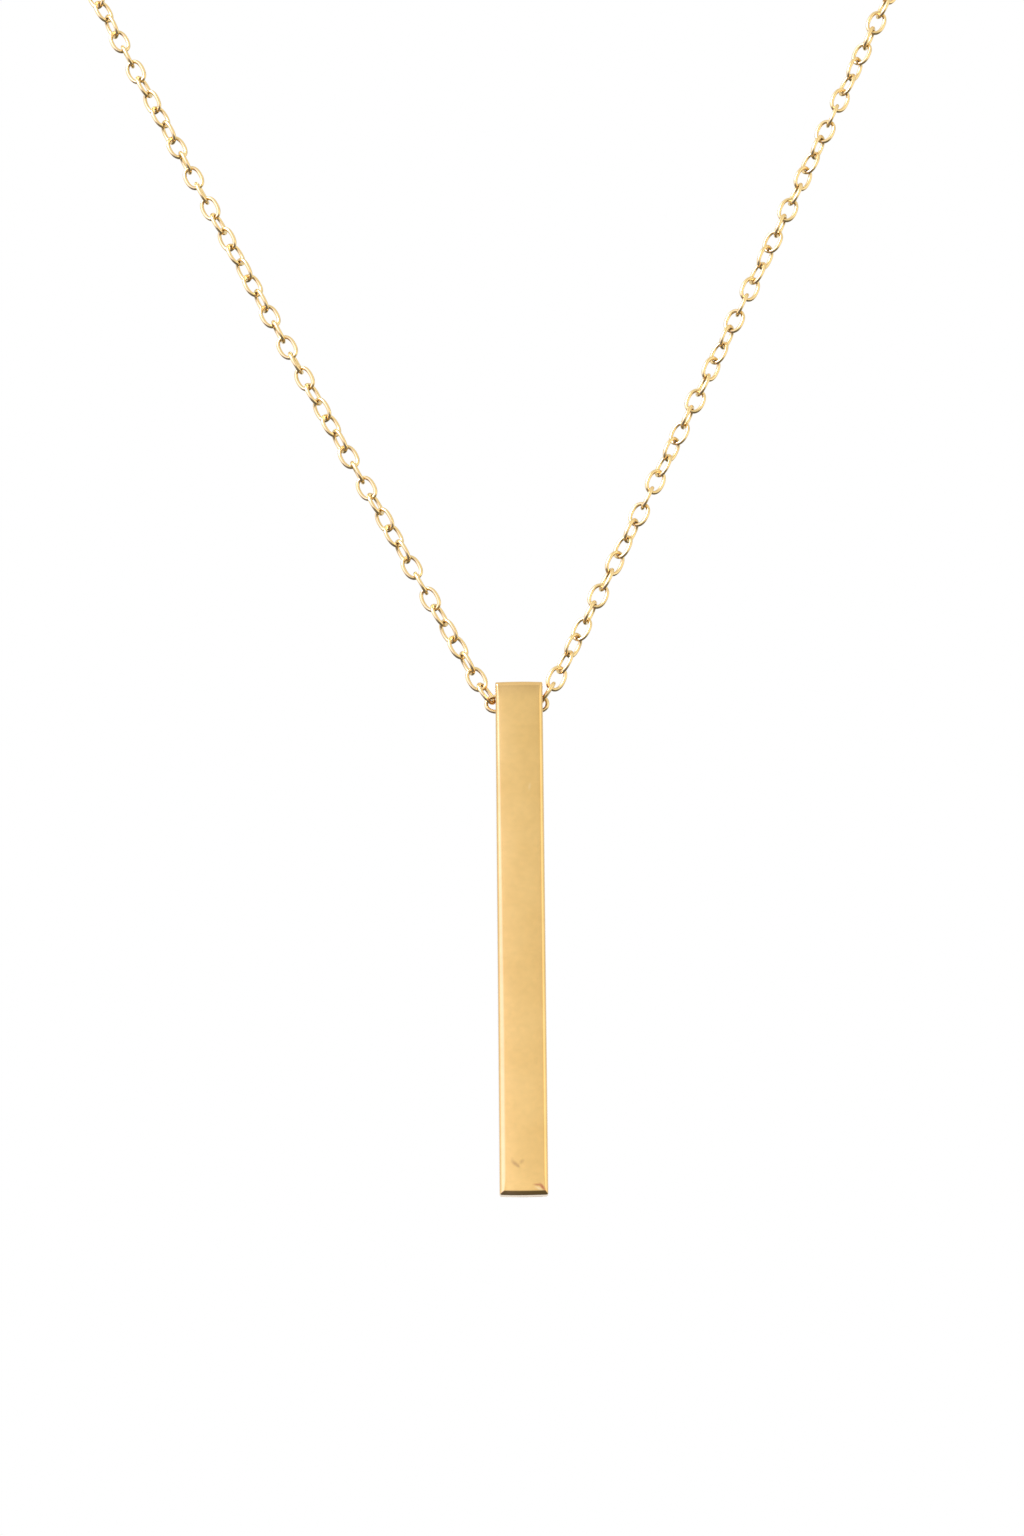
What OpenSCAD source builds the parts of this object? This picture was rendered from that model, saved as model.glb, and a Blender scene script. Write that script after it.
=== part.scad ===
// Bar pendant on a fine cable chain, hanging as worn.
// Z is up, the wearer faces -Y, and the loop hangs in the XZ plane.
// The origin is the underside of the clasp, where the chain rests on the back of the neck.

/* [Bar] */
// Height of the bar
bar_h = 32; // [20:1:50]
// Width of the bar, side to side
bar_w = 3; // [2.6:0.1:5]
// Depth of the bar, front to back
bar_d = 3; // [2.6:0.1:5]
// Radius of the softened edges around the bar's front and back faces
edge_r = 0.3; // [0.1:0.05:0.4]
// Radius of the four short edges that run from front to back
corner_r = 0.1; // [0.05:0.01:0.12]
// Diameter of the hole that the chain runs through
bore_d = 1.7; // [1.6:0.05:1.9]
// Distance from the bar's top down to the middle of the hole
bore_drop = 1.3; // [1.25:0.05:4]
// Width of the bevel around each mouth of the hole
mouth_bevel = 0.2; // [0.05:0.05:0.2]

/* [Chain] */
// Length of the whole loop, clasp included
loop_len = 457; // [380:1:620]
// Length that one link adds to the chain
pitch = 1.2; // [1.1:0.02:1.3]
// Outer width of a link
link_w = 1.25; // [1.2:0.01:1.3]
// Diameter of the wire of a link
wire_d = 0.25; // [0.2:0.01:0.26]
// Space left between the wires of two linked links
link_gap = 0.1; // [0.1:0.02:0.16]
// Space left between the chain and the top of the hole
bore_gap = 0.1; // [0.1:0.01:0.2]
// How far the links in the hole sit to the wearer's right
chain_shift = 0.14; // [0:0.01:0.2]
// Number of open links shown on each side of the bar, below the hidden stretch
front_links = 46; // [10:1:60]
// Diameter of the plain stretch that stands for the hidden links
back_d = 1.3; // [1:0.1:2]

/* [Hang] */
// Angle between the bar and the first link out of each side of the hole
first_angle = 34; // [28:1:38]
// Slack at each end of the first links, which lie at sharper turns to their neighbours
first_slack = 0.1; // [0.05:0.01:0.12]
// Angle between the bar and the rest of the chain at its left
left_angle = 29.2; // [25:0.1:35]
// Angle between the bar and the rest of the chain at its right
right_angle = 27.1; // [25:0.1:35]
// How far each side of the chain bows toward the vertical on its way up
bow = 4.5; // [0:0.1:8]
// Turn of the first link at the left, away from edge-on
left_first_turn = -28; // [-30:1:10]
// Turn that the rest of the left side starts from
left_turn = 10; // [0:0.5:20]
// Turn that the right side starts from
right_turn = 4.5; // [0:0.5:20]
// Turn that the chain's left side gains with each link
left_twist = 11; // [0:0.5:20]
// Turn that the chain's right side gains with each link
right_twist = 15; // [0:0.5:20]
// How far the left side's turn sways about its even gain
left_sway = 18; // [0:1:20]
// Number of links in one sway
sway_links = 38; // [30:1:50]
// Link of the left side where the sway starts
sway_start = 8; // [0:1:20]

/* [Clasp] */
// Outer diameter of the clasp's ring
clasp_od = 5.6; // [4.5:0.1:8]
// Thickness of the clasp's ring
clasp_t = 1.1; // [0.8:0.1:1.5]
// Outer diameter of the eye at each side of the clasp
eye_od = 1.7; // [1.6:0.1:2.2]
// Thickness of each eye
eye_t = 0.4; // [0.3:0.05:0.5]

/* [Hidden] */
$fn = 48;

// Links lie at half turns to each other, and three of them fill the hole.
links_in_bore = 3;
quarter_turn = 90;
end_r = (link_w - wire_d) / 2;
joint_reach = (wire_d + link_gap) / 2;
end_offset = pitch / 2 + joint_reach - end_r;
pivot_back = pitch / 2 - end_offset;

// The clasp's ring and eyes lie flat on the neck, and the first link at each side hooks an eye.
clasp_ring_r = (clasp_od - clasp_t) / 2;
eye_r = (eye_od - eye_t) / 2;
eye_x = clasp_od / 2 + eye_r;
clasp_edge = eye_x + eye_od / 2;

// The first link out of the hole leans by itself, turning about the far end of the link in the hole.
// The next link turns about its own near end, and that is where the rest of the side starts.
function slant(angle) = [sin(angle), cos(angle)];
first_len = pitch + 2 * (pivot_back - first_slack);
first_reach = first_len * slant(first_angle);

// The loop: two bowed sides that run up from the first links to a round neck line.
radian = 180 / PI;
left_top = left_angle - bow;
right_top = right_angle - bow;
left_mid = left_angle - bow / 2;
right_mid = right_angle - bow / 2;
bow_ratio = bow == 0 ? 1 : sin(bow / 2) / (bow / 2 / radian);
hole_span = links_in_bore * pitch - 2 * pivot_back;
start_span = hole_span + 2 * first_reach[0];
closing = bow_ratio * sin(left_mid + right_mid);
neck_turn = (180 + left_top + right_top) / radian;

// Length of each side for a neck line of radius r.
function side_x(r) = r * (cos(right_top) + cos(left_top)) - start_span;
function side_z(r) = r * (sin(left_top) - sin(right_top));
function right_len(r) = (side_x(r) * cos(left_mid) + side_z(r) * sin(left_mid)) / closing;
function left_len(r) = (side_x(r) * cos(right_mid) - side_z(r) * sin(right_mid)) / closing;
function loop_for(r) = hole_span + 2 * first_len + right_len(r) + left_len(r) + r * neck_turn;
loop_growth = loop_for(2) - loop_for(1);
neck_r = 1 + (loop_len - loop_for(1)) / loop_growth;

// Each side as [sign of x, start, angle at the bar, length, turn of the first link, turn, twist, sway].
function start_at(shift) = [hole_span / 2 + shift, 0] + first_reach;
side_right = [1, start_at(-chain_shift), right_angle, right_len(neck_r),
    right_turn, right_turn, right_twist, 0];
side_left = [-1, start_at(chain_shift), left_angle, left_len(neck_r),
    left_first_turn, left_turn, left_twist, left_sway];

// A point and a heading on one side, s along from its start, with x counted outward.
function arc_turn(side, s) = bow * s / side[3];
function arc_ratio(turn) = turn == 0 ? 1 : sin(turn / 2) / (turn / 2 / radian);
function side_point(side, s) =
    let (turn = arc_turn(side, s))
    side[1] + s * arc_ratio(turn) * slant(side[2] - turn / 2);
function neck_centre(side) =
    side_point(side, side[3]) - neck_r * [cos(side[2] - bow), -sin(side[2] - bow)];
function neck_angle(side, s) = (s - side[3]) / neck_r * radian - (side[2] - bow);
function run_point(side, s) =
    s < side[3] ? side_point(side, s)
    : neck_centre(side) + neck_r * [cos(neck_angle(side, s)), sin(neck_angle(side, s))];
function run_heading(side, s) =
    s < side[3] ? quarter_turn - side[2] + arc_turn(side, s)
    : quarter_turn + neck_angle(side, s);
function run_len(side) = side[3] + neck_r * (quarter_turn + side[2] - bow) / radian;

// Where the hole and the chain through it lie below the origin.
top_z = clasp_t / 2;
centre_x = neck_centre(side_right)[0];
chain_z = top_z - neck_r - neck_centre(side_right)[1];
chain_rise = bore_d / 2 - bore_gap - link_w / 2;
bore_z = chain_z - chain_rise;
bore_x = -centre_x;

// A point of the chain in the frame of the whole necklace.
function place(side, p) = [bore_x + side[0] * p[0], 0, chain_z + p[1]];

// Links of a side after its first, and where its plain stretch starts and ends.
function link_at(j) = end_offset + (j - 1) * pitch;
front_end = link_at(front_links - 0.5);
back_start = front_end + joint_reach + wire_d / 2 + link_gap;
function back_end(side) = run_len(side) - clasp_edge - link_gap;
back_rings = 40;
back_sides = 8;

module rounded_section(w, h, r) {
    square([w - 2 * r, h], center = true);
    square([w, h - 2 * r], center = true);
    for (x = [-1, 1], y = [-1, 1])
        translate([x * (w / 2 - r), y * (h / 2 - r)])
            circle(r = r);
}

// A square bar with softened edges, drilled from side to side near its top.
module bar() {
    color("#e6bf79")
    translate([bore_x, 0, bore_z + bore_drop - bar_h / 2])
    difference() {
        intersection() {
            linear_extrude(bar_h, center = true)
                rounded_section(bar_w, bar_d, edge_r);
            rotate([90, 0, 0])
                linear_extrude(bar_d, center = true)
                    rounded_section(bar_w, bar_h, corner_r);
            rotate([90, 0, 90])
                linear_extrude(bar_w, center = true)
                    rounded_section(bar_d, bar_h, edge_r);
        }
        translate([0, 0, bar_h / 2 - bore_drop])
            rotate([0, 90, 0]) {
                cylinder(d = bore_d, h = 2 * bar_w, center = true);
                for (turn = [0, 180])
                    rotate([turn, 0, 0])
                        translate([0, 0, bar_w / 2 - mouth_bevel])
                            cylinder(d1 = bore_d, d2 = bore_d + 4 * mouth_bevel, h = 2 * mouth_bevel);
            }
    }
}

// One oval link, lying flat in the XY plane with its length along X.
module link() {
    for (turn = [0, 180])
        rotate([0, 0, turn]) {
            translate([end_offset, 0, 0])
                rotate([0, 0, -quarter_turn])
                    rotate_extrude(angle = 180)
                        translate([end_r, 0])
                            circle(d = wire_d);
            translate([-end_offset, end_r, 0])
                rotate([0, 90, 0])
                    cylinder(d = wire_d, h = 2 * end_offset);
        }
}

// Turn of a side's link about its own length: each link lies across the last, with a slow twist.
function link_turn(side, j) =
    j == 0 ? side[4]
    : side[5] + j * (quarter_turn + side[6]) + side[7] * sin((j - sway_start) * 360 / sway_links);

// Middle and heading of a side's link: the first one leans by itself and the rest follow the side.
function link_middle(side, j) =
    j == 0 ? side[1] - (first_len / 2) * slant(first_angle) : run_point(side, link_at(j));
function link_heading(side, j) = j == 0 ? quarter_turn - first_angle : run_heading(side, link_at(j));

module side_link(side, j) {
    translate(place(side, link_middle(side, j)))
        mirror([side[0] < 0 ? 1 : 0, 0, 0])
            rotate([0, -link_heading(side, j), 0])
                rotate([side[0] * link_turn(side, j), 0, 0])
                    link();
}

// Interlocked links: three in the hole and the open ones at each side of it.
module chain_front() {
    color("#e0bb76") {
        for (i = [-1, 0, 1])
            translate([bore_x - chain_shift + i * pitch, 0, chain_z])
                rotate([abs(i) * quarter_turn, 0, 0])
                    link();
        for (side = [side_right, side_left], j = [0 : front_links - 1])
            side_link(side, j);
    }
}

// A plain swept stretch that keeps the place and length of one side's hidden links.
module back_run(side) {
    first = back_start;
    step = (back_end(side) - first) / (back_rings - 1);
    points = [
        for (i = [0 : back_rings - 1], k = [0 : back_sides - 1])
            let (
                s = first + i * step,
                p = place(side, run_point(side, s)),
                h = run_heading(side, s),
                a = side[0] * 360 * (k + 0.5) / back_sides,
                out = cos(a) * back_d / 2
            )
            [p[0] + side[0] * out * sin(h), sin(a) * back_d / 2, p[2] - out * cos(h)]
    ];
    walls = [
        for (i = [0 : back_rings - 2], k = [0 : back_sides - 1])
            let (a = i * back_sides + k, b = i * back_sides + (k + 1) % back_sides)
            [a, b, b + back_sides, a + back_sides]
    ];
    start_cap = [for (k = [back_sides - 1 : -1 : 0]) k];
    end_cap = [for (k = [0 : back_sides - 1]) (back_rings - 1) * back_sides + k];
    polyhedron(points, concat([start_cap], walls, [end_cap]));
}

module chain_back() {
    color("#e0bb76") {
        back_run(side_right);
        back_run(side_left);
    }
}

module flat_ring(r, t) {
    rotate_extrude()
        translate([r, 0])
            circle(d = t);
}

// A plain ring with an eye at each side, closed and in one piece.
module clasp() {
    color("#e0bb76")
    translate([0, 0, top_z]) {
        flat_ring(clasp_ring_r, clasp_t);
        for (x = [-1, 1])
            translate([x * eye_x, 0, 0])
                flat_ring(eye_r, eye_t);
    }
}

bar();
chain_front();
chain_back();
clasp();
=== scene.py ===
"""Looks for the bar pendant necklace: polished gold bar, fine cable chain and clasp."""
import math

import bmesh
import bpy
import numpy as np
from mathutils import Matrix, Vector


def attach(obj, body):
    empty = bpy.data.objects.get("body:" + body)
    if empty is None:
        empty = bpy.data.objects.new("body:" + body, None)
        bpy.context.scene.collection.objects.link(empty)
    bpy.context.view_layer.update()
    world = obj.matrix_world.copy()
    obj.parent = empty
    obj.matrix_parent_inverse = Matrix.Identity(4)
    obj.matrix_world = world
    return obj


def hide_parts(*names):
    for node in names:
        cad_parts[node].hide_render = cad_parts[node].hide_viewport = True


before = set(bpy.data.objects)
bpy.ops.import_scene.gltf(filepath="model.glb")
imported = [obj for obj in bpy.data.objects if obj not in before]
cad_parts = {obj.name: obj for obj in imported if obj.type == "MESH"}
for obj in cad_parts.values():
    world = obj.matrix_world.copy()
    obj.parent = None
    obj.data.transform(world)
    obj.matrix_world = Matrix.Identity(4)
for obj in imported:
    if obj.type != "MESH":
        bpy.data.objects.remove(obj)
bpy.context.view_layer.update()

# Units: sizes below are in millimetres, and meshes are built in metres.
MM = 0.001
QUARTER = math.pi / 2

# Bar, as in the part's source
BAR_W = 3.0
BAR_D = 3.0
BAR_H = 32.0
EDGE_R = 0.3
CORNER_R = 0.1
BORE_R = 0.85
BORE_DROP = 1.3
MOUTH_R = 0.2

# The front left edge is polished wider downward: its width at the top, its full width, and the drop to it
SOFT_AT_TOP = 0.24
SOFT_FULL = 0.43
SOFT_FULL_DROP = 22.0
SOFT_REACH = 1.0

# Polishing leaves each face slightly crowned, and lower near the bar's two ends
FACE_CROWN = 0.03
TOP_CROWN = 0.03
ROLL_OFF = 0.04
ROLL_LEN = 1.2

# Chain, as in the part's source
PITCH = 1.2
LINK_W = 1.25
WIRE = 0.25
SOLID_GAP = 0.1
LOOP_LEN = 457.0
FIRST_ANGLE = math.radians(34.0)
FIRST_SLACK = 0.1
LEFT_ANGLE = math.radians(29.2)
RIGHT_ANGLE = math.radians(27.1)
BOW = math.radians(4.5)
LEFT_FIRST_TURN = math.radians(-28.0)
LEFT_TURN = math.radians(10.0)
RIGHT_TURN = math.radians(4.5)
LEFT_TWIST = math.radians(11.0)
RIGHT_TWIST = math.radians(15.0)
LEFT_SWAY = math.radians(18.0)
SWAY_LINKS = 38
SWAY_START = 8
CHAIN_SHIFT = 0.14
BORE_GAP = 0.1
FRONT_LINKS = 46
LINKS_IN_BORE = 3

# Clasp, as in the part's source
CLASP_OD = 5.6
CLASP_T = 1.1
EYE_OD = 1.7
EYE_T = 0.4

# Camera: the photograph's frame in pixels, its focal length, where it looks from and its reach in metres
IMAGE_H = 1536
FOCAL_PX = 3000.0
SENSOR_MM = 36.0
PX_PER_MM = 15.90
LOOK_UP = math.radians(11.0)
CAMERA_ROLL = math.radians(-0.54)
AIM_FROM_BAR_X = -0.485
AIM_FROM_BAR_TOP = -5.295
CLIP_NEAR = 0.005
CLIP_FAR = 20.0

# Radius of a link's round end, half the length of its straight part, how far its joint lies past that
# part, and the first link's length from joint to joint
END_R = (LINK_W - WIRE) / 2
END_OFFSET = PITCH / 2 + (WIRE + SOLID_GAP) / 2 - END_R
PIVOT_BACK = PITCH / 2 - END_OFFSET
FIRST_LEN = PITCH + 2 * (PIVOT_BACK - FIRST_SLACK)


def slant(angle):
    """The direction at an angle from straight up, with x counted outward."""
    return Vector((math.sin(angle), math.cos(angle)))


def solve_loop():
    """The neck radius and the two sides that close the loop at its real length."""
    left_mid = LEFT_ANGLE - BOW / 2
    right_mid = RIGHT_ANGLE - BOW / 2
    ratio = math.sin(BOW / 2) / (BOW / 2)
    reach = FIRST_LEN * slant(FIRST_ANGLE)
    hole_span = LINKS_IN_BORE * PITCH - 2 * PIVOT_BACK
    closing = ratio * math.sin(left_mid + right_mid)
    turn = math.pi + LEFT_ANGLE + RIGHT_ANGLE - 2 * BOW

    def lengths(r):
        x = r * (math.cos(RIGHT_ANGLE - BOW) + math.cos(LEFT_ANGLE - BOW)) - hole_span - 2 * reach[0]
        z = r * (math.sin(LEFT_ANGLE - BOW) - math.sin(RIGHT_ANGLE - BOW))
        right_len = (x * math.cos(left_mid) + z * math.sin(left_mid)) / closing
        left_len = (x * math.cos(right_mid) - z * math.sin(right_mid)) / closing
        return right_len, left_len

    def loop(r):
        return hole_span + 2 * FIRST_LEN + sum(lengths(r)) + r * turn

    neck_r = 1 + (LOOP_LEN - loop(1)) / (loop(2) - loop(1))
    right_len, left_len = lengths(neck_r)
    right = {
        "sign": 1,
        "start": Vector((hole_span / 2 - CHAIN_SHIFT, 0)) + reach,
        "angle": RIGHT_ANGLE,
        "length": right_len,
        "first_turn": RIGHT_TURN,
        "turn": RIGHT_TURN,
        "twist": RIGHT_TWIST,
        "sway": 0.0,
    }
    left = {
        "sign": -1,
        "start": Vector((hole_span / 2 + CHAIN_SHIFT, 0)) + reach,
        "angle": LEFT_ANGLE,
        "length": left_len,
        "first_turn": LEFT_FIRST_TURN,
        "turn": LEFT_TURN,
        "twist": LEFT_TWIST,
        "sway": LEFT_SWAY,
    }
    return neck_r, (right, left)


NECK_R, SIDES = solve_loop()


def side_point(side, s):
    """A point of the bowed part of a side, s from its start, with x counted outward."""
    turn = BOW * s / side["length"]
    ratio = 1.0 if turn == 0 else math.sin(turn / 2) / (turn / 2)
    return side["start"] + s * ratio * slant(side["angle"] - turn / 2)


def neck_centre(side):
    top = side["angle"] - BOW
    return side_point(side, side["length"]) - NECK_R * Vector((math.cos(top), -math.sin(top)))


def run_point(side, s):
    if s < side["length"]:
        return side_point(side, s)
    a = (s - side["length"]) / NECK_R - (side["angle"] - BOW)
    return neck_centre(side) + NECK_R * Vector((math.cos(a), math.sin(a)))


def run_heading(side, s):
    if s < side["length"]:
        return QUARTER - side["angle"] + BOW * s / side["length"]
    return QUARTER + (s - side["length"]) / NECK_R - (side["angle"] - BOW)


def run_length(side):
    return side["length"] + NECK_R * (QUARTER + side["angle"] - BOW)


TOP_Z = CLASP_T / 2
BAR_X = -neck_centre(SIDES[0])[0]
CHAIN_Z = TOP_Z - NECK_R - neck_centre(SIDES[0])[1]
BORE_Z = CHAIN_Z - (BORE_R - BORE_GAP - LINK_W / 2)
BAR_TOP = BORE_Z + BORE_DROP


def make_camera():
    forward = Vector((0, math.cos(LOOK_UP), math.sin(LOOK_UP)))
    level = Vector((1, 0, 0))
    upright = level.cross(forward)
    right = math.cos(CAMERA_ROLL) * level + math.sin(CAMERA_ROLL) * upright
    up = -math.sin(CAMERA_ROLL) * level + math.cos(CAMERA_ROLL) * upright
    aim = Vector((BAR_X + AIM_FROM_BAR_X, 0, BAR_TOP + AIM_FROM_BAR_TOP))
    place = (aim - forward * FOCAL_PX / PX_PER_MM) * MM
    data = bpy.data.cameras.new("camera")
    data.sensor_width = SENSOR_MM
    data.lens = FOCAL_PX / IMAGE_H * SENSOR_MM
    data.clip_start = CLIP_NEAR
    data.clip_end = CLIP_FAR
    camera = bpy.data.objects.new("camera", data)
    rotation = Matrix((right, up, -forward)).transposed()
    camera.matrix_world = Matrix.Translation(place) @ rotation.to_4x4()
    bpy.context.scene.collection.objects.link(camera)
    bpy.context.scene.camera = camera


def mesh_from(name, verts, faces):
    """A mesh in metres from points in millimetres, with its faces turned outward."""
    mesh = bpy.data.meshes.new(name)
    mesh.from_pydata([tuple(c * MM for c in v) for v in verts], [], faces)
    work = bmesh.new()
    work.from_mesh(mesh)
    bmesh.ops.recalc_face_normals(work, faces=work.faces)
    work.to_mesh(mesh)
    work.free()
    return mesh


def add_object(name, mesh, material=None):
    obj = bpy.data.objects.new(name, mesh)
    bpy.context.scene.collection.objects.link(obj)
    if material:
        mesh.materials.append(material)
    return obj


def smooth(mesh):
    mesh.polygons.foreach_set("use_smooth", [True] * len(mesh.polygons))
    mesh.update()


def apply_modifiers(obj):
    """Keeps what the modifiers make as the object's own mesh."""
    graph = bpy.context.evaluated_depsgraph_get()
    mesh = bpy.data.meshes.new_from_object(obj.evaluated_get(graph))
    obj.modifiers.clear()
    old = obj.data
    obj.data = mesh
    bpy.data.meshes.remove(old)
    mesh.name = obj.name


def boolean(obj, name, operation, other):
    change = obj.modifiers.new(name, "BOOLEAN")
    change.operation = operation
    change.solver = "EXACT"
    change.object = other


def dress(obj, body, replaced):
    """Hands a finished piece over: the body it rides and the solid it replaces."""
    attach(obj, body)
    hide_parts(replaced)


# Shader helpers

def node(tree, kind, **values):
    made = tree.nodes.new(kind)
    for key, value in values.items():
        if key in made.inputs:
            made.inputs[key].default_value = value
        else:
            setattr(made, key, value)
    return made


def math_node(tree, operation, first, second=0.0):
    """A calculation with one or two values, each a node output or a number."""
    made = node(tree, "ShaderNodeMath", operation=operation)
    for socket, value in zip(made.inputs, (first, second)):
        if isinstance(value, (int, float)):
            socket.default_value = value
        else:
            tree.links.new(value, socket)
    return made.outputs["Value"]


def lookup(tree, source, low, high, stops):
    """A colour looked up by a value, from stops of (value, colour or grey)."""
    span = node(tree, "ShaderNodeMapRange")
    span.inputs["From Min"].default_value = low
    span.inputs["From Max"].default_value = high
    tree.links.new(source, span.inputs["Value"])
    ramp = node(tree, "ShaderNodeValToRGB")
    elements = ramp.color_ramp.elements
    while len(elements) < len(stops):
        elements.new(0.5)
    for element, (at, colour) in zip(elements, stops):
        element.position = (at - low) / (high - low)
        element.color = colour if isinstance(colour, tuple) else (colour, colour, colour, 1)
    tree.links.new(span.outputs["Result"], ramp.inputs["Fac"])
    return ramp.outputs["Color"]


def blend(tree, amount, first, second, mode="MIX"):
    """Mixes two colours, each a node output or a fixed colour."""
    made = node(tree, "ShaderNodeMix", data_type="RGBA", blend_type=mode)
    for name, value in (("Factor", amount), ("A", first), ("B", second)):
        kind = "Float" if name == "Factor" else "Color"
        socket = next(s for s in made.inputs if s.identifier == name + "_" + kind)
        if isinstance(value, (int, float, tuple)):
            socket.default_value = value
        else:
            tree.links.new(value, socket)
    return next(s for s in made.outputs if s.identifier == "Result_Color")


def new_material(name):
    material = bpy.data.materials.new(name)
    material.use_nodes = True
    return material, material.node_tree, material.node_tree.nodes["Principled BSDF"]


def spot(tree, x, drop, size, turn):
    """How much a point of the bar lies in an oval mark or painted highlight on its front face."""
    place = node(tree, "ShaderNodeTexCoord")
    frame_in = node(tree, "ShaderNodeMapping", vector_type="TEXTURE")
    frame_in.inputs["Location"].default_value = Vector((BAR_X + x, -BAR_D / 2, BAR_TOP - drop)) * MM
    frame_in.inputs["Rotation"].default_value = (0, turn, 0)
    frame_in.inputs["Scale"].default_value = Vector((size[0], MARK_DEPTH, size[1])) * MM
    tree.links.new(place.outputs["Object"], frame_in.inputs["Vector"])
    ball = node(tree, "ShaderNodeTexGradient", gradient_type="SPHERICAL")
    tree.links.new(frame_in.outputs["Vector"], ball.inputs["Vector"])
    return lookup(tree, ball.outputs["Fac"], 0.0, 1.0, ((0.0, 0.0), (MARK_EDGE, 1.0)))


# Materials

GOLD = (0.92, 0.613, 0.247, 1)
GOLD_DEEP = (0.875, 0.570, 0.220, 1)
SMUDGE = (0.52, 0.32, 0.15, 1)
COPPER = (0.52, 0.19, 0.10, 1)
CREAM = (1.0, 0.80, 0.50, 1)
CHAIN_GOLD = (0.93, 0.70, 0.33, 1)
# Painted shade colour that the chain darkens to in its joints
CHAIN_CREVICE_SHADE = (0.44, 0.31, 0.12, 1)
CHAIN_ROUGHNESS = 0.26
FLOOR_COLOUR = (0.90, 0.87, 0.80, 1)
FLOOR_ROUGHNESS = 0.8

# How fine the bar's clouds, mottling and polishing grain are, and what they do to its gloss and colour
CLOUD_SCALE = 300.0
MOTTLE_SCALE = 2000.0
GRAIN_SCALE = 7000.0
GRAIN_STRENGTH = 0.04
GRAIN_DEPTH = 0.00002
CLOUD_COLOUR = ((0.35, GOLD_DEEP), (0.65, GOLD))
CLOUD_ROUGHNESS = ((0.3, 0.15), (0.7, 0.19))
MOTTLE_SHADE = ((0.35, 0.95), (0.65, 1.0))

# How far around a joint the painted shade darkens the metal, in metres, and how open a place is where it
# starts and ends
CREVICE_REACH = 0.0003
CREVICE_FULL = 0.1
CREVICE_NONE = 0.55

# How deep a mark or painted highlight reaches into the face, and how far in from its rim it is at full
# strength
MARK_DEPTH = 0.8
MARK_EDGE = 0.9

# Marks on the front face, and one painted highlight: x, drop below the top, half width and half length,
# turn, strength, tint
BAR_MARKS_AND_HIGHLIGHT = (
    (-0.52, 30.10, (0.17, 0.36), math.radians(-54), 0.75, SMUDGE),
    (-0.34, 30.25, (0.12, 0.18), math.radians(-50), 0.60, SMUDGE),
    (-0.12, 29.98, (0.15, 0.26), math.radians(46), 0.50, SMUDGE),
    (-0.68, 29.88, (0.14, 0.24), math.radians(-20), 0.25, SMUDGE),
    (0.60, 6.76, (0.11, 0.32), math.radians(10), 0.30, CREAM),
    # Painted highlight: a pale patch below the copper wear, where the rounded bottom right corner catches
    # the light
    (0.92, 31.60, (0.12, 0.36), math.radians(-66), 0.60, CREAM),
    (0.84, 31.38, (0.10, 0.36), math.radians(-86), 0.75, COPPER),
    (1.13, 31.52, (0.14, 0.38), math.radians(-38), 1.00, COPPER),
)


def bar_material():
    material, tree, shader = new_material("bar_gold")
    link = tree.links.new
    shader.inputs["Metallic"].default_value = 1.0
    place = node(tree, "ShaderNodeTexCoord").outputs["Object"]
    clouds = node(tree, "ShaderNodeTexNoise", Scale=CLOUD_SCALE, Detail=2.0, Roughness=0.5)
    link(place, clouds.inputs["Vector"])
    colour = lookup(tree, clouds.outputs["Fac"], 0.0, 1.0, CLOUD_COLOUR)
    fine = node(tree, "ShaderNodeTexNoise", Scale=MOTTLE_SCALE, Detail=3.0, Roughness=0.6)
    link(place, fine.inputs["Vector"])
    shade = lookup(tree, fine.outputs["Fac"], 0.0, 1.0, MOTTLE_SHADE)
    colour = blend(tree, 1.0, colour, shade, "MULTIPLY")
    # Smudges and copper wear are mixed into the colour, and so is one painted highlight
    for x, drop, size, turn, strength, tint in BAR_MARKS_AND_HIGHLIGHT:
        patch_strength = math_node(tree, "MULTIPLY", spot(tree, x, drop, size, turn), strength)
        colour = blend(tree, patch_strength, colour, tint)
    link(colour, shader.inputs["Base Color"])
    roughness = lookup(tree, clouds.outputs["Fac"], 0.0, 1.0, CLOUD_ROUGHNESS)
    link(roughness, shader.inputs["Roughness"])
    stretch = node(tree, "ShaderNodeMapping", Scale=(1.0, 1.0, 0.1))
    link(place, stretch.inputs["Vector"])
    grain = node(tree, "ShaderNodeTexNoise", Scale=GRAIN_SCALE, Detail=2.0)
    link(stretch.outputs["Vector"], grain.inputs["Vector"])
    bump = node(tree, "ShaderNodeBump", Strength=GRAIN_STRENGTH, Distance=GRAIN_DEPTH)
    link(grain.outputs["Fac"], bump.inputs["Height"])
    link(bump.outputs["Normal"], shader.inputs["Normal"])
    return material


def chain_material():
    material, tree, shader = new_material("chain_gold")
    link = tree.links.new
    shader.inputs["Metallic"].default_value = 1.0
    shader.inputs["Roughness"].default_value = CHAIN_ROUGHNESS
    # Painted shade: the base colour darkens where the links close in on each other at the joints
    near = node(tree, "ShaderNodeAmbientOcclusion", samples=8, Distance=CREVICE_REACH)
    stops = ((CREVICE_FULL, CHAIN_CREVICE_SHADE), (CREVICE_NONE, CHAIN_GOLD))
    painted_shade = lookup(tree, near.outputs["AO"], 0.0, 1.0, stops)
    link(painted_shade, shader.inputs["Base Color"])
    return material


def floor_material():
    material, tree, shader = new_material("pale_floor")
    shader.inputs["Base Color"].default_value = FLOOR_COLOUR
    shader.inputs["Roughness"].default_value = FLOOR_ROUGHNESS
    return material


# Bar

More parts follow.
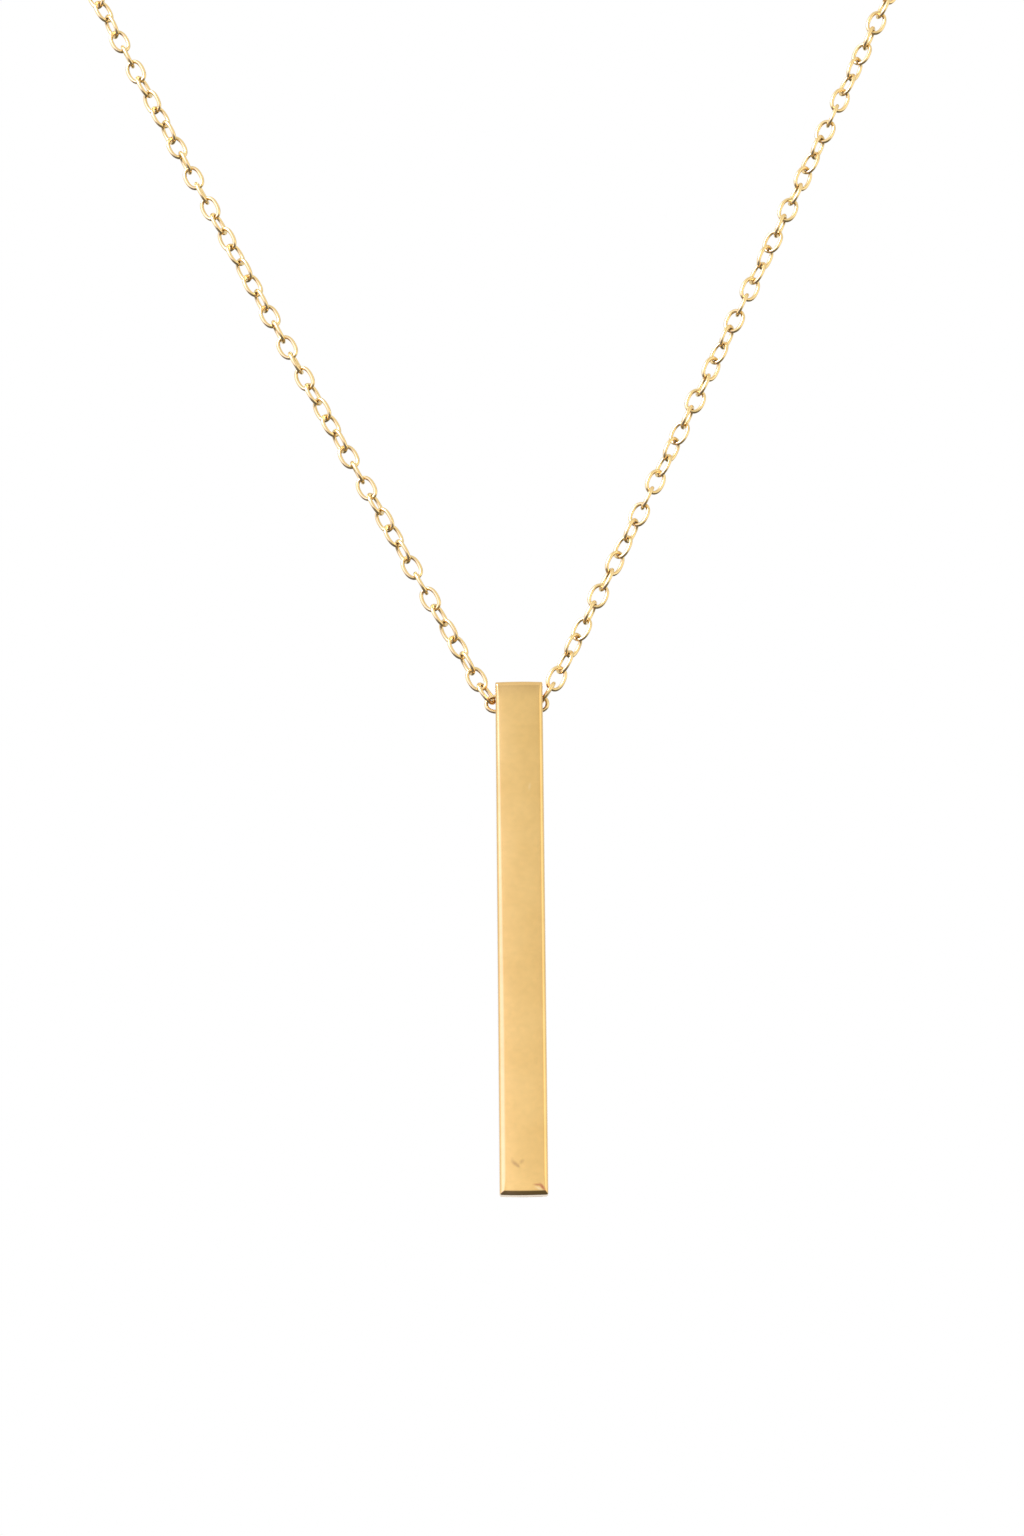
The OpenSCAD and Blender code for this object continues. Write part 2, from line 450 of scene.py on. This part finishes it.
# How finely its mesh is drawn, and the drop from an end that takes in the hole
SIDE_STEPS = 13
CORNER_STEPS = 10
END_STEPS = 10
ROLL_STEPS = 6
HOLE_END = 3.0
HOLE_STEPS = 12
BODY_STEPS = 16
FLAT_FACE_WEIGHT = 100


def fillet(radius, drop):
    """How far a rounded edge of that radius has drawn in, at a drop below the face it meets."""
    if drop >= radius:
        return 0.0
    return radius - math.sqrt(radius ** 2 - (radius - drop) ** 2)


def roll_off(drop):
    return ROLL_OFF * max(0.0, 1 - drop / ROLL_LEN) ** 2


def bar_outline(drop):
    """The bar's outline at a drop from its nearer end: crowned faces and round corners."""
    half = (BAR_W / 2 - fillet(CORNER_R, drop), BAR_D / 2 - fillet(EDGE_R, drop) - roll_off(drop))
    corner = (BAR_W / 2 - EDGE_R, BAR_D / 2 - EDGE_R)
    round_r = EDGE_R - FACE_CROWN
    points = []
    for k in range(4):
        out, along = k % 2, 1 - k % 2
        signs = ((1, 1), (-1, 1), (-1, -1), (1, -1))[k]
        side, other = signs[out], signs[along]
        out_max = half[out] - FACE_CROWN
        along_max = half[along] - FACE_CROWN
        face = []
        for u in np.linspace(-1, 1, SIDE_STEPS):
            p = [0.0, 0.0]
            p[out] = side * (half[out] - FACE_CROWN * u * u)
            p[along] = other * u * min(corner[along], along_max)
            face.append(p)
        arc = []
        for i in range(1, CORNER_STEPS):
            b = QUARTER * i / CORNER_STEPS
            p = [0.0, 0.0]
            p[out] = side * min(corner[out] + round_r * math.cos(b), out_max)
            p[along] = other * min(corner[along] + round_r * math.sin(b), along_max)
            arc.append(p)
        points += face + arc
    return points


def softened(x, y, drop):
    """The place across the bar of a point, with the front left edge wider toward the bottom."""
    inward = BAR_W / 2 + x
    if y > 0 or inward > SOFT_REACH:
        return x
    wide = SOFT_AT_TOP + (SOFT_FULL - SOFT_AT_TOP) * min(1.0, drop / SOFT_FULL_DROP)
    if inward < EDGE_R:
        return inward * wide / EDGE_R - BAR_W / 2
    return wide + (inward - EDGE_R) * (SOFT_REACH - wide) / (SOFT_REACH - EDGE_R) - BAR_W / 2


def bar_drops():
    """Drops below an end at which the bar gets an outline, from the end to the middle."""
    drops = [EDGE_R * (1 - math.cos(QUARTER * i / END_STEPS)) for i in range(END_STEPS + 1)]
    drops += [EDGE_R + (ROLL_LEN - EDGE_R) * i / ROLL_STEPS for i in range(1, ROLL_STEPS + 1)]
    drops += [ROLL_LEN + (HOLE_END - ROLL_LEN) * i / HOLE_STEPS for i in range(1, HOLE_STEPS + 1)]
    drops += [HOLE_END + (BAR_H / 2 - HOLE_END) * i / BODY_STEPS for i in range(1, BODY_STEPS + 1)]
    return drops


def revolve(profile, steps):
    """A closed solid of revolution about X from a list of (x, radius)."""
    verts = []
    faces = []
    for x, radius in profile:
        for k in range(steps):
            a = 2 * math.pi * k / steps
            verts.append((x, radius * math.cos(a), radius * math.sin(a)))
    for i in range(len(profile) - 1):
        for k in range(steps):
            a = i * steps + k
            b = i * steps + (k + 1) % steps
            faces.append((a, a + steps, b + steps, b))
    faces.append(tuple(range(steps)))
    faces.append(tuple(reversed(range((len(profile) - 1) * steps, len(profile) * steps))))
    return mesh_from("revolved", verts, faces)


BORE_STEPS = 96
MOUTH_STEPS = 6
MOUTH_OVERLAP = 0.02


def bore_cutter():
    """The hole's shape, with a rounded mouth at each side of the bar."""
    half = BAR_W / 2
    mouth = []
    for i in range(MOUTH_STEPS):
        t = QUARTER * i / MOUTH_STEPS
        mouth.append((half - MOUTH_R + MOUTH_R * math.sin(t), BORE_R + MOUTH_R * (1 - math.cos(t))))
    mouth.append((half + MOUTH_OVERLAP, BORE_R + MOUTH_R + MOUTH_OVERLAP))
    profile = [(-x, r) for x, r in reversed(mouth)] + mouth
    cutter = add_object("cutter", revolve(profile, BORE_STEPS))
    cutter.location = Vector((BAR_X, 0, BORE_Z)) * MM
    return cutter


def make_bar(material):
    drops = bar_drops()
    rows = [(-1, d) for d in drops] + [(1, d) for d in reversed(drops[:-1])]
    middle = BAR_TOP - BAR_H / 2
    verts = []
    faces = []
    for sign, drop in rows:
        for x, y in bar_outline(drop):
            crowned = 1 - TOP_CROWN / (BAR_H / 2) * (2 * x / BAR_W) ** 2
            rise = sign * (BAR_H / 2 - drop) * crowned
            verts.append((BAR_X + softened(x, y, BAR_H / 2 - rise), y, middle + rise))
    count = len(bar_outline(0.0))
    for i in range(len(rows) - 1):
        for k in range(count):
            a = i * count + k
            b = i * count + (k + 1) % count
            faces.append((a, b, b + count, a + count))
    faces.append(tuple(reversed(range(count))))
    faces.append(tuple(range((len(rows) - 1) * count, len(rows) * count)))
    bar = add_object("bar_body", mesh_from("bar_body", verts, faces), material)
    cutter = bore_cutter()
    boolean(bar, "bore", "DIFFERENCE", cutter)
    apply_modifiers(bar)
    bpy.data.objects.remove(cutter)
    smooth(bar.data)
    weighted = bar.modifiers.new("normals", "WEIGHTED_NORMAL")
    weighted.weight = FLAT_FACE_WEIGHT
    apply_modifiers(bar)
    dress(bar, "bar", "bar")


# Chain

# The links keep their width and spacing, with joints that close up
TIGHT_GAP = 0.01

# How square the links' oval is: 2 is an ellipse, and more is squarer
OVAL_POWER = 2.3


def link_shape(along_steps, wire_steps):
    """Vertices and faces of one oval link in the XY plane, its length along X, in millimetres."""
    half_len = (PITCH + WIRE + TIGHT_GAP) / 2
    centres = []
    for i in range(along_steps):
        a = 2 * math.pi * i / along_steps
        c, s = [math.copysign(abs(v) ** (2 / OVAL_POWER), v) for v in (math.cos(a), math.sin(a))]
        slope = [math.copysign(abs(v) ** (OVAL_POWER - 1), v) for v in (c, s)]
        out = Vector((slope[0] / half_len, slope[1] / END_R, 0)).normalized()
        centres.append((Vector((half_len * c, END_R * s, 0)), out))
    verts = []
    for centre, out in centres:
        for j in range(wire_steps):
            b = 2 * math.pi * j / wire_steps
            verts.append(centre + (out * math.cos(b) + Vector((0, 0, math.sin(b)))) * WIRE / 2)
    faces = []
    count = len(centres)
    for i in range(count):
        for j in range(wire_steps):
            a = i * wire_steps
            b = (i + 1) % count * wire_steps
            k = (j + 1) % wire_steps
            faces.append((a + j, b + j, b + k, a + k))
    return np.array([tuple(v) for v in verts]), np.array(faces)


def frame_for(place, heading, turn):
    """A link's own frame: X along the chain, turned about its length. Edge-on where the turn is 0."""
    x = Vector((math.cos(heading), 0, math.sin(heading)))
    y = Vector((0, 1, 0))
    side = y * math.cos(turn) + x.cross(y) * math.sin(turn)
    return place, x, side, x.cross(side)


def link_turn(side, j):
    if j == 0:
        return side["first_turn"]
    sway = side["sway"] * math.sin(2 * math.pi * (j - SWAY_START) / SWAY_LINKS)
    return side["turn"] + j * (QUARTER + side["twist"]) + sway


def link_frame(side, j):
    """The first link leans by itself, and the rest follow the side."""
    if j == 0:
        p = side["start"] - FIRST_LEN / 2 * slant(FIRST_ANGLE)
        heading = QUARTER - FIRST_ANGLE
    else:
        s = END_OFFSET + (j - 1) * PITCH
        p = run_point(side, s)
        heading = run_heading(side, s)
    place = Vector((BAR_X + side["sign"] * p[0], 0, CHAIN_Z + p[1]))
    if side["sign"] < 0:
        heading = math.pi - heading
    return frame_for(place, heading, link_turn(side, j))


def joined_links(name, frames, along_steps, wire_steps, material):
    base, faces = link_shape(along_steps, wire_steps)
    verts = []
    quads = []
    for i, (place, *axes) in enumerate(frames):
        verts.append(base @ np.array([tuple(a) for a in axes]) + np.array(tuple(place)))
        quads.append(faces + i * len(base))
    mesh = mesh_from(name, np.vstack(verts).tolist(), np.vstack(quads).tolist())
    smooth(mesh)
    return add_object(name, mesh, material)


def last_link(side):
    """How many links a side takes up to the clasp's eye."""
    eye_far = CLASP_OD / 2 + (EYE_OD - EYE_T)
    hook = eye_far - (EYE_T + WIRE) / 4
    return round((run_length(side) - hook - END_OFFSET) / PITCH) + 1


FRONT_DETAIL = (44, 16)
BACK_DETAIL = (28, 10)


def make_chain(material):
    shown = []
    for i in range(LINKS_IN_BORE):
        step = i - (LINKS_IN_BORE - 1) / 2
        place = Vector((BAR_X - CHAIN_SHIFT + step * PITCH, 0, CHAIN_Z))
        shown.append(frame_for(place, 0.0, abs(step) * QUARTER))
    hidden = []
    for side in SIDES:
        shown += [link_frame(side, j) for j in range(FRONT_LINKS)]
        hidden += [link_frame(side, j) for j in range(FRONT_LINKS, last_link(side))]
    front = joined_links("chain_front_links", shown, *FRONT_DETAIL, material)
    dress(front, "necklace", "chain_front")
    back = joined_links("chain_back_links", hidden, *BACK_DETAIL, material)
    dress(back, "necklace", "chain_back")


# Clasp

RING_DETAIL = (96, 28)
EYE_DETAIL = (48, 16)


def torus(centre, radius, thickness, ring_steps, wire_steps):
    """A flat ring in the XY plane around centre, in millimetres."""
    verts = []
    faces = []
    for i in range(ring_steps):
        a = 2 * math.pi * i / ring_steps
        out = Vector((math.cos(a), math.sin(a), 0))
        for j in range(wire_steps):
            b = 2 * math.pi * j / wire_steps
            rise = Vector((0, 0, math.sin(b) * thickness / 2))
            verts.append(centre + out * (radius + math.cos(b) * thickness / 2) + rise)
            c = i * wire_steps
            d = (i + 1) % ring_steps * wire_steps
            k = (j + 1) % wire_steps
            faces.append((c + j, d + j, d + k, c + k))
    return mesh_from("ring", verts, faces)


def make_clasp(material):
    centre = Vector((0, 0, TOP_Z))
    ring = torus(centre, (CLASP_OD - CLASP_T) / 2, CLASP_T, *RING_DETAIL)
    clasp = add_object("clasp_ring", ring, material)
    eye_r = (EYE_OD - EYE_T) / 2
    eye_x = CLASP_OD / 2 + eye_r
    eyes = []
    for sign in (-1, 1):
        eye_centre = centre + Vector((sign * eye_x, 0, 0))
        eye = add_object("eye", torus(eye_centre, eye_r, EYE_T, *EYE_DETAIL))
        boolean(clasp, "eye", "UNION", eye)
        eyes.append(eye)
    apply_modifiers(clasp)
    for eye in eyes:
        bpy.data.objects.remove(eye)
    smooth(clasp.data)
    dress(clasp, "necklace", "clasp")


# Stage and light

FLOOR_DROP = 120.0
FLOOR_HALF = 700.0

# Light that reaches the metal, by the angle above the horizon and by the angle to the right of the front
LIGHT_BY_HEIGHT = (
    (-90, 0.12),
    (-26, 0.15),
    (-12, 0.92),
    (-4, 1.12),
    (0, 1.10),
    (5, 1.01),
    (8.5, 0.955),
    (11.5, (0.97, 1.00, 0.98, 1)),
    (13.5, (0.93, 0.96, 0.94, 1)),
    (17, 0.74),
    (24, 0.72),
    (36, 0.92),
    (60, 0.88),
    (90, 0.84),
)
LIGHT_BY_TURN = (
    (-180, 0.86),
    (-120, 0.86),
    (-85, (1.10, 1.10, 1.20, 1)),
    (-66, (1.50, 1.48, 2.30, 1)),
    (-20, (1.50, 1.45, 2.30, 1)),
    (-11, (1.25, 1.22, 1.40, 1)),
    (-6, (1.04, 1.04, 1.06, 1)),
    (0, 0.98),
    (7, (0.90, 0.89, 0.85, 1)),
    (18, (0.82, 0.77, 0.69, 1)),
    (38, (1.32, 1.25, 1.10, 1)),
    (62, (1.48, 1.42, 1.40, 1)),
    (90, 0.95),
    (130, 0.86),
    (180, 0.86),
)

# Angles above the horizon between which the light stops changing around the room
EVEN_FROM = 25
EVEN_ABOVE = 55

# A soft light at the upper left: its place from the bar's hole and its size in metres, power and colour
KEY_OFFSET = (-0.45, -0.35, 0.35)
KEY_SIZE = 0.3
KEY_POWER = 4.5
KEY_COLOUR = (0.85, 0.88, 1.2)


def make_floor():
    z = BAR_TOP - BAR_H - FLOOR_DROP
    half = FLOOR_HALF
    corners = [(-half, -half, z), (half, -half, z), (half, half, z), (-half, half, z)]
    floor = add_object("floor", mesh_from("floor", corners, [(0, 1, 2, 3)]), floor_material())
    floor.visible_glossy = False


def make_world():
    """The room's light, which the camera sees as plain white behind the object."""
    world = bpy.data.worlds.new("studio")
    world.use_nodes = True
    bpy.context.scene.world = world
    tree = world.node_tree
    tree.nodes.clear()
    link = tree.links.new
    split = node(tree, "ShaderNodeSeparateXYZ")
    link(node(tree, "ShaderNodeTexCoord").outputs["Generated"], split.inputs["Vector"])
    front = math_node(tree, "MULTIPLY", split.outputs["Y"], -1.0)
    turn = math_node(tree, "ARCTAN2", split.outputs["X"], front)
    height = math_node(tree, "ARCSINE", split.outputs["Z"])
    turn = math_node(tree, "DEGREES", turn)
    height = math_node(tree, "DEGREES", height)
    by_height = lookup(tree, height, -90.0, 90.0, LIGHT_BY_HEIGHT)
    by_turn = lookup(tree, turn, -180.0, 180.0, LIGHT_BY_TURN)
    room = node(tree, "ShaderNodeBackground", Strength=1.0)
    even = lookup(tree, height, -90.0, 90.0, ((EVEN_FROM, 0.0), (EVEN_ABOVE, 1.0)))
    around = blend(tree, even, by_turn, (1, 1, 1, 1))
    link(blend(tree, 1.0, by_height, around, "MULTIPLY"), room.inputs["Color"])
    white = node(tree, "ShaderNodeBackground", Color=(1, 1, 1, 1), Strength=1.0)
    path = node(tree, "ShaderNodeLightPath")
    mix = node(tree, "ShaderNodeMixShader")
    link(path.outputs["Is Camera Ray"], mix.inputs["Fac"])
    link(room.outputs["Background"], mix.inputs[1])
    link(white.outputs["Background"], mix.inputs[2])
    link(mix.outputs["Shader"], node(tree, "ShaderNodeOutputWorld").inputs["Surface"])


def make_key_light():
    """A soft square light that aims at the bar's hole."""
    data = bpy.data.lights.new("key_left", "AREA")
    data.shape = "RECTANGLE"
    data.size = KEY_SIZE
    data.size_y = KEY_SIZE
    data.energy = KEY_POWER
    data.color = KEY_COLOUR
    offset = Vector(KEY_OFFSET)
    light = bpy.data.objects.new("key_left", data)
    light.location = Vector((BAR_X, 0, BORE_Z)) * MM + offset
    light.rotation_euler = (-offset).to_track_quat("-Z", "Y").to_euler()
    bpy.context.scene.collection.objects.link(light)


make_camera()
bpy.context.scene.view_settings.view_transform = "Standard"
make_bar(bar_material())
gold_chain = chain_material()
make_chain(gold_chain)
make_clasp(gold_chain)
make_floor()
make_world()
make_key_light()
